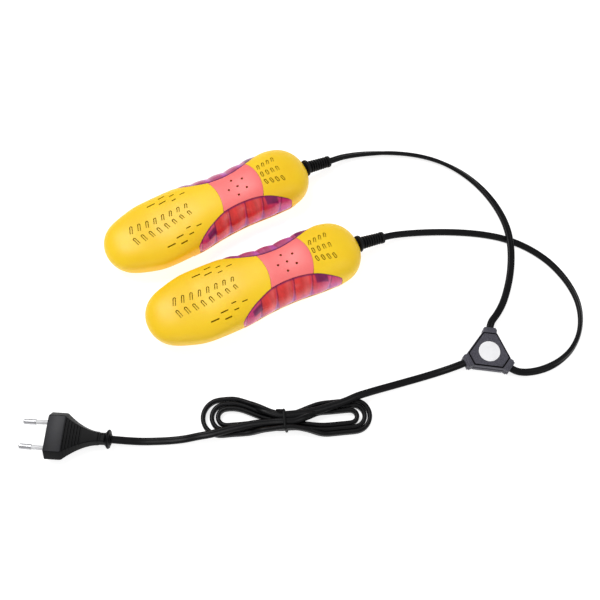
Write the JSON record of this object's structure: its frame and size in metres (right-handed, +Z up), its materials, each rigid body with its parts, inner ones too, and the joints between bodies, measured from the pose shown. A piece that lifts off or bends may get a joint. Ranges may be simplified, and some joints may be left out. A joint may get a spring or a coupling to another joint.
{
  "type": "boot dryer",
  "caption": "Pair of shoe-shaped electric boot dryers with vented toes and side windows, on a forked flat cord with a splitter, a tied hank and a two-pin plug.",
  "frame": {"origin": "middle of the pair of dryers' box, on the surface that everything rests on", "axes": "+X from the dryers' toes towards their heels, +Z up"},
  "size_m": [0.4195, 0.2519, 0.0317],
  "materials": {
    "yellow_shell": "satin, moulded",
    "coral_band": "satin, moulded",
    "purple_window": "translucent, polished",
    "heater_metal": "brushed",
    "ceramic_white": "matt",
    "mica_board": "matt",
    "screw_steel": "plated",
    "circuit_board": "satin",
    "lamp_lens": "clear",
    "ivory_plastic": "matt",
    "grey_housing": "fine grain",
    "white_disc": "smooth, blank",
    "brass_crimp": "plain",
    "black_cord": "satin PVC",
    "black_rubber": "satin",
    "plug_black": "satin, moulded",
    "pin_metal": "nickel plated",
    "pin_sleeve": "smooth"
  },
  "bodies": {
    "root": {"splitter_base": "grey_housing", "splitter_cover": "grey_housing", "splitter_disc": "white_disc", "splitter_screw": "screw_steel", "splice_crimps": "brass_crimp", "lead_a": "black_cord", "lead_b": "black_cord", "main_cord_near": "black_cord", "cord_hank": "black_cord", "twist_tie": "black_rubber", "main_cord_far": "black_cord", "plug_body": "plug_black", "plug_pin_left": "pin_metal", "plug_pin_right": "pin_metal", "pin_sleeves": "pin_sleeve"},
    "dryer_a": {"upper_shell_a": "yellow_shell", "lower_shell_a": "yellow_shell", "saddle_band_a": "coral_band", "window_outer_a": "purple_window", "window_inner_a": "purple_window", "heater_case_a": "heater_metal", "heater_ceramic_a": "ceramic_white", "heater_bracket_a": "mica_board", "bracket_screws_a": "screw_steel", "lamp_board_a": "circuit_board", "lamps_a": "lamp_lens", "thermal_cutout_a": "heater_metal", "inner_lead_a": "black_cord", "cord_clamp_a": "ivory_plastic", "clamp_screws_a": "screw_steel", "shell_screws_a": "screw_steel", "strain_relief_a": "black_rubber"},
    "dryer_b": {"upper_shell_b": "yellow_shell", "lower_shell_b": "yellow_shell", "saddle_band_b": "coral_band", "window_outer_b": "purple_window", "window_inner_b": "purple_window", "heater_case_b": "heater_metal", "heater_ceramic_b": "ceramic_white", "heater_bracket_b": "mica_board", "bracket_screws_b": "screw_steel", "lamp_board_b": "circuit_board", "lamps_b": "lamp_lens", "thermal_cutout_b": "heater_metal", "inner_lead_b": "black_cord", "cord_clamp_b": "ivory_plastic", "clamp_screws_b": "screw_steel", "shell_screws_b": "screw_steel", "strain_relief_b": "black_rubber"}
  },
  "joints": [
    {"name": "relief_a_flex", "type": "hinge", "parent": "root", "child": "dryer_a", "pos_m": [0.09164, 0.03982, 0.0102], "axis": [0, 0, 1], "range_deg": [-30, 0], "stiffness_Nm_per_rad": 0.02, "deforming": ["strain_relief_a"]},
    {"name": "relief_b_flex", "type": "hinge", "parent": "root", "child": "dryer_b", "pos_m": [0.09824, -0.03982, 0.0102], "axis": [0, 0, 1], "range_deg": [0, 9], "stiffness_Nm_per_rad": 0.02, "deforming": ["strain_relief_b"]}
  ]
}
